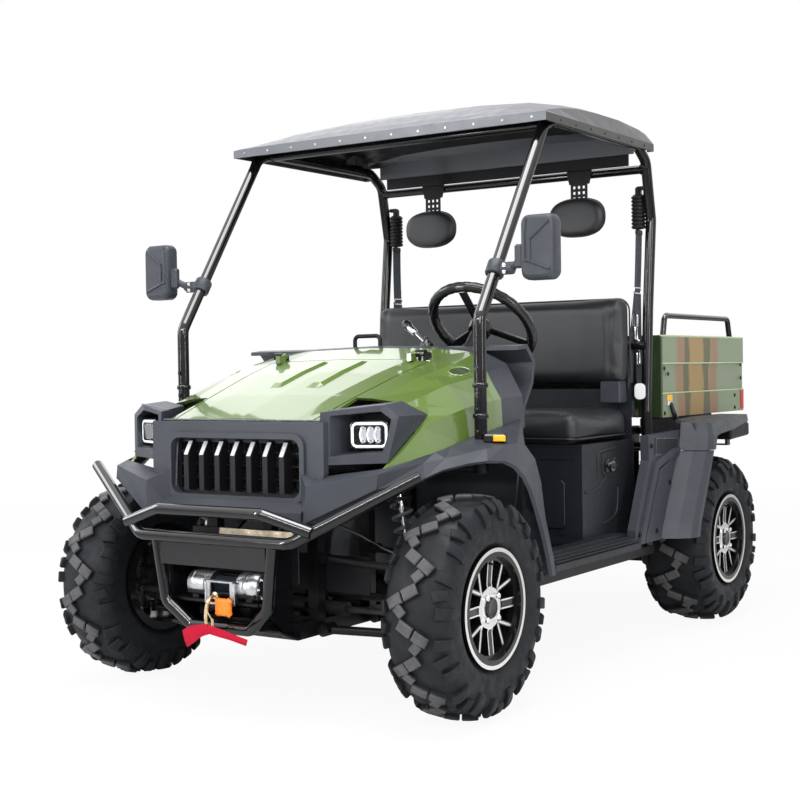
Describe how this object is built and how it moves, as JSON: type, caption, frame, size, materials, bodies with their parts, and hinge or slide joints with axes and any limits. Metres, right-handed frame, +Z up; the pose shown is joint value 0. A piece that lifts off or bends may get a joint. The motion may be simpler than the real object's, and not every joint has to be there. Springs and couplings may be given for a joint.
{
  "type": "side by side utility vehicle",
  "caption": "Two-seat side by side utility vehicle with cage and roof, sprung steered front wheels, hinged hood, winch and a tilting load bed with drop tailgate.",
  "frame": {"origin": "centre of the bounding box in plan, on the ground under the tyres", "axes": "+Z up, front of the vehicle faces -Y, driver's side is +X"},
  "size_m": [1.6, 2.771, 1.8985],
  "materials": {
    "tyre_rubber": "matt moulded rubber",
    "alloy_black": "gloss black with machined faces",
    "cast_steel": "cast, dark",
    "green_gloss": "gloss olive green",
    "bed_green": "satin sage green",
    "slate_plastic": "textured slate grey moulding",
    "black_plastic": "textured black moulding",
    "black_tube": "gloss black powder coat",
    "black_steel": "satin black paint",
    "dark_metal": "grey metal",
    "hook_red": "red strap and plated hook",
    "black_vinyl": "satin vinyl",
    "webbing": "woven belt",
    "roof_black": "satin black sheet",
    "lamp_glass": "clear lens",
    "lamp_red": "red lens"
  },
  "bodies": {
    "chassis": {"cage": "black_tube", "dash": "slate_plastic", "driveline": "dark_metal", "engine": "dark_metal", "fascia": "slate_plastic", "floor_pan": "black_plastic", "front_bumper": "black_tube", "front_cowl": "green_gloss", "front_fenders": "slate_plastic", "grab_handle": "black_plastic", "grille": "black_plastic", "headlights": "lamp_glass", "headrests": "black_vinyl", "main_frame": "black_steel", "mirrors": "slate_plastic", "muffler": "dark_metal", "radiator": "dark_metal", "rear_bumper": "black_tube", "rear_fenders": "slate_plastic", "rockers": "slate_plastic", "roof": "roof_black", "seat_back": "black_vinyl", "seat_belts": "webbing", "seat_box": "black_plastic", "seat_cushion": "black_vinyl", "shift_lever": "black_plastic", "shocks": "dark_metal", "side_guards": "slate_plastic", "skid_plate": "black_steel", "steering_column": "black_plastic", "suspension_arms": "black_steel", "tail_lamps": "lamp_red", "winch": "dark_metal", "winch_hook": "hook_red"},
    "knuckle_left": {"knuckle_left": "cast_steel"},
    "knuckle_right": {"knuckle_right": "cast_steel"},
    "wheel_front_left": {"tyre_front_left": "tyre_rubber", "rim_front_left": "alloy_black"},
    "wheel_front_right": {"tyre_front_right": "tyre_rubber", "rim_front_right": "alloy_black"},
    "wheel_rear_left": {"tyre_rear_left": "tyre_rubber", "rim_rear_left": "alloy_black"},
    "wheel_rear_right": {"tyre_rear_right": "tyre_rubber", "rim_rear_right": "alloy_black"},
    "steering_rack": {"steering_rack": "dark_metal"},
    "steering_wheel": {"steering_wheel": "black_plastic"},
    "hood": {"hood": "green_gloss"},
    "cargo_bed": {"cargo_bed": "bed_green", "bed_rails": "black_tube"},
    "tailgate": {"tailgate": "bed_green"}
  },
  "joints": [
    {"name": "steer_left", "type": "hinge", "parent": "chassis", "child": "knuckle_left", "pos_m": [0.57, -0.9575, 0.3175], "axis": [0, 0, 1], "range_deg": [-28, 28]},
    {"name": "steer_right", "type": "hinge", "parent": "chassis", "child": "knuckle_right", "pos_m": [-0.57, -0.9575, 0.3175], "axis": [0, 0, 1], "range_deg": [-28, 28]},
    {"name": "rack_slide", "type": "slide", "parent": "chassis", "child": "steering_rack", "axis": [1, 0, 0], "range_m": [-0.0368, 0.0368]},
    {"name": "steering_wheel_turn", "type": "hinge", "parent": "chassis", "child": "steering_wheel", "pos_m": [0.333, -0.3575, 1.128], "axis": [0, 0.6947, 0.7193], "range_deg": [-281, 281]},
    {"name": "wheel_front_left_spin", "type": "hinge", "parent": "knuckle_left", "child": "wheel_front_left", "pos_m": [0.62, -0.9575, 0.3175], "axis": [1, 0, 0], "continuous": true},
    {"name": "wheel_front_right_spin", "type": "hinge", "parent": "knuckle_right", "child": "wheel_front_right", "pos_m": [-0.62, -0.9575, 0.3175], "axis": [1, 0, 0], "continuous": true},
    {"name": "wheel_rear_left_spin", "type": "hinge", "parent": "chassis", "child": "wheel_rear_left", "pos_m": [0.6, 0.8425, 0.3175], "axis": [1, 0, 0], "continuous": true},
    {"name": "wheel_rear_right_spin", "type": "hinge", "parent": "chassis", "child": "wheel_rear_right", "pos_m": [-0.6, 0.8425, 0.3175], "axis": [1, 0, 0], "continuous": true},
    {"name": "hood_hinge", "type": "hinge", "parent": "chassis", "child": "hood", "pos_m": [0, -0.6515, 1.036], "axis": [-1, 0, 0], "range_deg": [0, 55]},
    {"name": "bed_tilt", "type": "hinge", "parent": "chassis", "child": "cargo_bed", "pos_m": [0, 1.1625, 0.712], "axis": [-1, 0, 0], "range_deg": [0, 40]},
    {"name": "tailgate_hinge", "type": "hinge", "parent": "cargo_bed", "child": "tailgate", "pos_m": [0, 1.3385, 0.805], "axis": [-1, 0, 0], "range_deg": [0, 90]}
  ],
  "couplings": [
    {"joint": "steer_right", "follows": "steer_left", "ratio": 1},
    {"joint": "rack_slide", "follows": "steer_left", "m_per_rad": 0.075},
    {"joint": "steering_wheel_turn", "follows": "steer_left", "ratio": 10}
  ]
}
